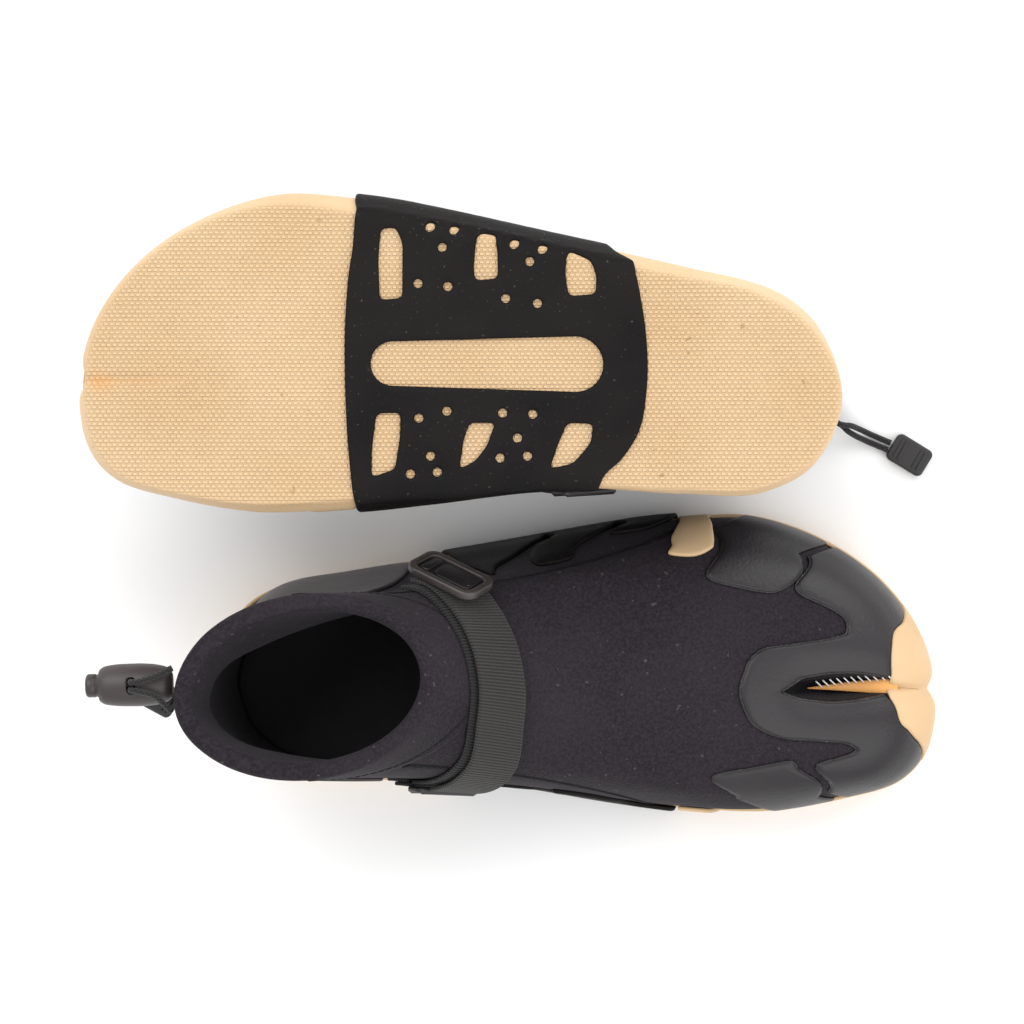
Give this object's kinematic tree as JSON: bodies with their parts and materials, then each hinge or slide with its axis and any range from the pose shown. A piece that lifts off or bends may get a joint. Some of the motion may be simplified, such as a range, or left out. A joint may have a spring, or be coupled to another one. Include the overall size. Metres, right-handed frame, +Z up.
{
  "type": "neoprene reef boots",
  "caption": "Split-toe neoprene water boots with gum rubber soles, midfoot harness, instep strap and drawcord collar.",
  "frame": {"origin": "on the ground under the middle of the pair, leaving out the free cords and what hangs on them", "axes": "+X from heel to toe of the upright boot, +Y towards the outer side of both boots, +Z up"},
  "size_m": [0.3229, 0.233, 0.104],
  "materials": {
    "gum_rubber": "tan gum rubber, fine staggered grain on the tread, smooth rim",
    "foam": "dark foam board",
    "neoprene": "near-black knitted nylon over neoprene, faint purple cast",
    "overlay_rubber": "charcoal smooth moulded rubber with a raised glued edge",
    "harness_rubber": "black smooth rubber sheet",
    "webbing": "dark grey ribbed woven webbing",
    "moulded_plastic": "black moulded plastic, satin",
    "spring_steel": "bright wire",
    "cord": "black braided elastic cord"
  },
  "bodies": {
    "boot_a": {"boot_a_outsole": "gum_rubber", "boot_a_lasting_board": "foam", "boot_a_footbed": "foam", "boot_a_vamp": "neoprene", "boot_a_quarter_outer": "neoprene", "boot_a_quarter_inner": "neoprene", "boot_a_cuff_outer": "neoprene", "boot_a_cuff_facing": "neoprene", "boot_a_collar_cord": "cord", "boot_a_toe_cap": "overlay_rubber", "boot_a_toe_wing_outer": "overlay_rubber", "boot_a_toe_wing_inner": "overlay_rubber", "boot_a_split_gusset": "gum_rubber", "boot_a_ankle_patch_outer": "overlay_rubber", "boot_a_ankle_patch_inner": "overlay_rubber", "boot_a_harness": "harness_rubber", "boot_a_strap_under": "webbing", "boot_a_strap_top": "webbing", "boot_a_loop_anchor": "webbing", "boot_a_buckle_loop": "moulded_plastic", "boot_a_cord_clip": "moulded_plastic", "boot_a_cord_1": "cord", "boot_a_cord_2": "cord"},
    "boot_a_strap_end": {"boot_a_strap_tail": "webbing", "boot_a_badge_frame": "moulded_plastic", "boot_a_badge_plate": "overlay_rubber"},
    "boot_a_lock": {"boot_a_lock_barrel": "moulded_plastic", "boot_a_lock_spring": "spring_steel"},
    "boot_a_button": {"boot_a_lock_button": "moulded_plastic"},
    "boot_b": {"boot_b_outsole": "gum_rubber", "boot_b_lasting_board": "foam", "boot_b_footbed": "foam", "boot_b_vamp": "neoprene", "boot_b_quarter_outer": "neoprene", "boot_b_quarter_inner": "neoprene", "boot_b_cuff_outer": "neoprene", "boot_b_cuff_facing": "neoprene", "boot_b_collar_cord": "cord", "boot_b_toe_cap": "overlay_rubber", "boot_b_toe_wing_outer": "overlay_rubber", "boot_b_toe_wing_inner": "overlay_rubber", "boot_b_split_gusset": "gum_rubber", "boot_b_ankle_patch_outer": "overlay_rubber", "boot_b_ankle_patch_inner": "overlay_rubber", "boot_b_harness": "harness_rubber", "boot_b_strap_under": "webbing", "boot_b_strap_top": "webbing", "boot_b_loop_anchor": "webbing", "boot_b_buckle_loop": "moulded_plastic", "boot_b_cord_clip": "moulded_plastic", "boot_b_cord_1": "cord", "boot_b_cord_2": "cord"},
    "boot_b_strap_end": {"boot_b_strap_tail": "webbing", "boot_b_badge_frame": "moulded_plastic", "boot_b_badge_plate": "overlay_rubber"},
    "boot_b_lock": {"boot_b_lock_barrel": "moulded_plastic", "boot_b_lock_spring": "spring_steel"},
    "boot_b_button": {"boot_b_lock_button": "moulded_plastic"}
  },
  "joints": [
    {"name": "boot_b_lift", "type": "slide", "parent": "boot_a", "child": "boot_b", "axis": [0, 0, 1], "range_m": [0, 0.2]},
    {"name": "boot_a_strap_peel", "type": "hinge", "parent": "boot_a", "child": "boot_a_strap_end", "pos_m": [-0.01059, -0.05005, 0.08676], "axis": [0.848, -0.0753, -0.5246], "range_deg": [0, 70]},
    {"name": "boot_a_lock_slide", "type": "slide", "parent": "boot_a", "child": "boot_a_lock", "axis": [0, 0, -1], "range_m": [0, 0.0025]},
    {"name": "boot_a_button_press", "type": "slide", "parent": "boot_a_lock", "child": "boot_a_button", "axis": [0.9996, 0.02, 0.02], "range_m": [0, 0.0035], "stiffness_N_per_m": 600, "springref_m": -0.001, "deforming": ["boot_a_lock_spring"]},
    {"name": "boot_b_strap_peel", "type": "hinge", "parent": "boot_b", "child": "boot_b_strap_end", "pos_m": [-0.00466, 0.06367, 0.01759], "axis": [-0.782, -0.048, 0.6214], "range_deg": [0, 50]},
    {"name": "boot_b_lock_slide", "type": "slide", "parent": "boot_b", "child": "boot_b_lock", "axis": [0.9196, -0.3928, 0], "range_m": [0, 0.0025]},
    {"name": "boot_b_button_press", "type": "slide", "parent": "boot_b_lock", "child": "boot_b_button", "axis": [0.3928, 0.9196, 0], "range_m": [0, 0.0035], "stiffness_N_per_m": 600, "springref_m": -0.001, "deforming": ["boot_b_lock_spring"]}
  ]
}
